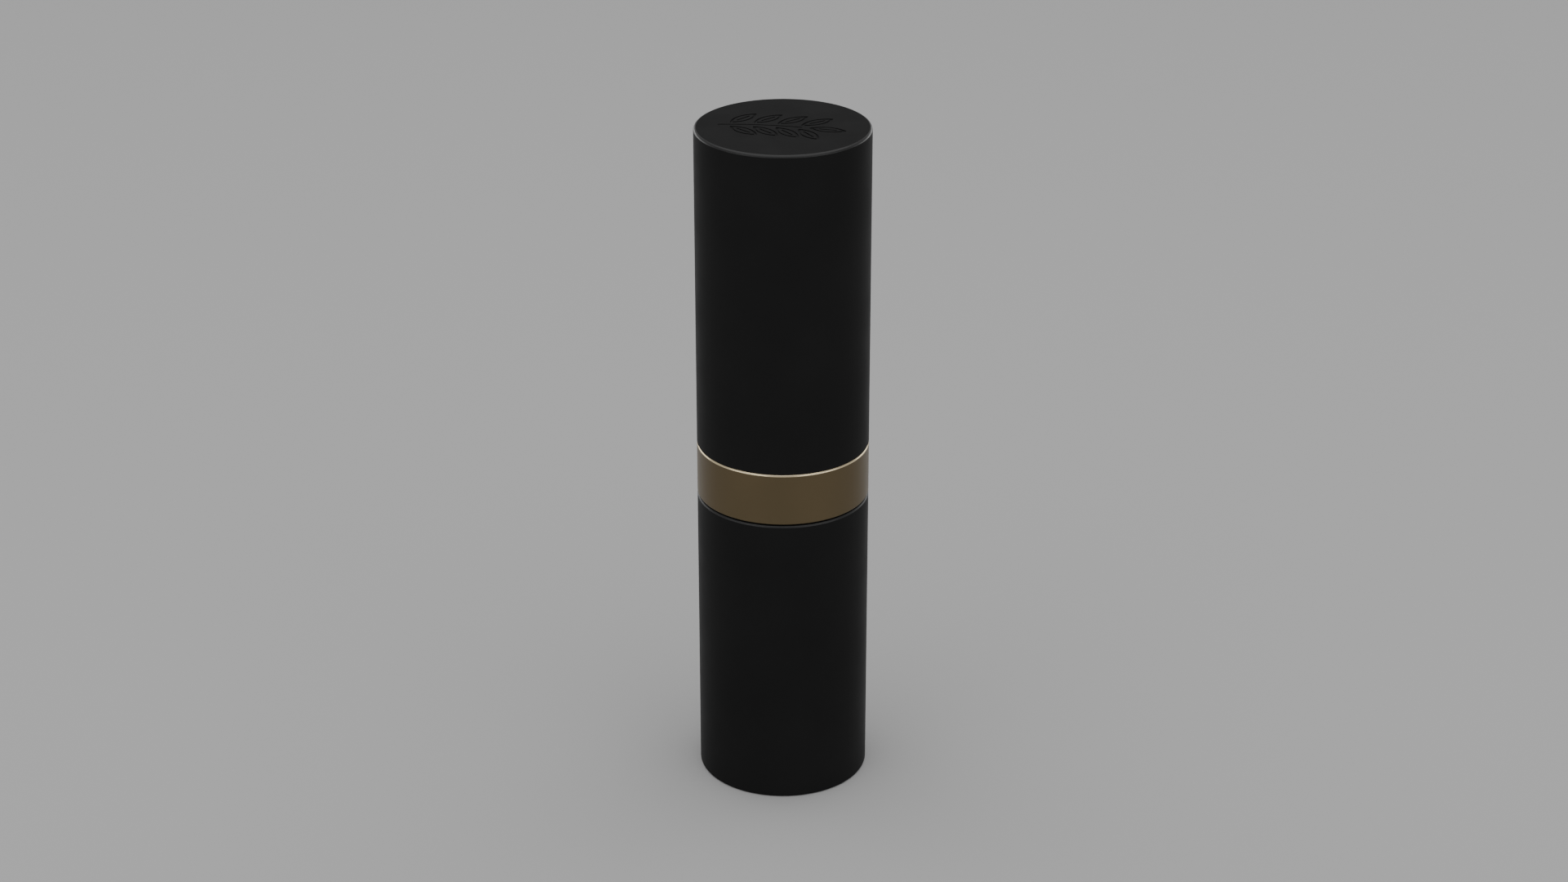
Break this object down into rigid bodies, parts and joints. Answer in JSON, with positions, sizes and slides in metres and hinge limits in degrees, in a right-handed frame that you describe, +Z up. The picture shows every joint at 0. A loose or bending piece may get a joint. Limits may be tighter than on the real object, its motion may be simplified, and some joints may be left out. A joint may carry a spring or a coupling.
{
  "type": "lipstick case",
  "caption": "Slim round swivel lipstick case: black pull-off cap, gold collar that winds the lipstick up out of a gold sleeve, weighted black base.",
  "frame": {"origin": "centre of the base's bottom, on the surface that the case stands on", "axes": "+Z up the case's axis towards the cap, +X to the right, -Y towards the front: the slanted face of the lipstick looks to -Y, and the sprig on the cap reads from -Y"},
  "size_m": [0.0195, 0.0194, 0.0784],
  "materials": {
    "black_aluminium": "satin black anodised",
    "gold_aluminium": "satin pale gold anodised",
    "black_plastic": "moulded black, matte",
    "white_plastic": "moulded off-white, satin",
    "steel": "machined",
    "silicone": "soft, matte",
    "wax": "satin lipstick, deep red",
    "label": "plain printed sticker"
  },
  "bodies": {
    "base": {"base_shell": "black_aluminium", "base_core": "black_plastic", "base_weight": "steel", "foot_plug": "black_plastic", "shade_label": "label", "fork_tube": "white_plastic", "drag_ring": "silicone"},
    "sleeve": {"collar_band": "gold_aluminium", "collar_core": "black_plastic", "cover_sleeve": "gold_aluminium", "spiral_cam": "white_plastic"},
    "cup": {"elevator_cup": "white_plastic", "pomade_cup": "gold_aluminium", "bullet": "wax"},
    "cap": {"cap_shell": "black_aluminium", "cap_liner": "black_plastic", "cap_weight": "steel"}
  },
  "joints": [
    {"name": "sleeve_twist", "type": "hinge", "parent": "base", "child": "sleeve", "pos_m": [0, 0, 0.0232], "axis": [0, 0, -1], "range_deg": [0, 540]},
    {"name": "cup_lift", "type": "slide", "parent": "base", "child": "cup", "axis": [0, 0, 1], "range_m": [0, 0.02]},
    {"name": "cap_pull", "type": "slide", "parent": "sleeve", "child": "cap", "axis": [0, 0, 1], "range_m": [0, 0.05]}
  ],
  "couplings": [
    {"joint": "cup_lift", "follows": "sleeve_twist", "m_per_rad": 0.0021221}
  ]
}
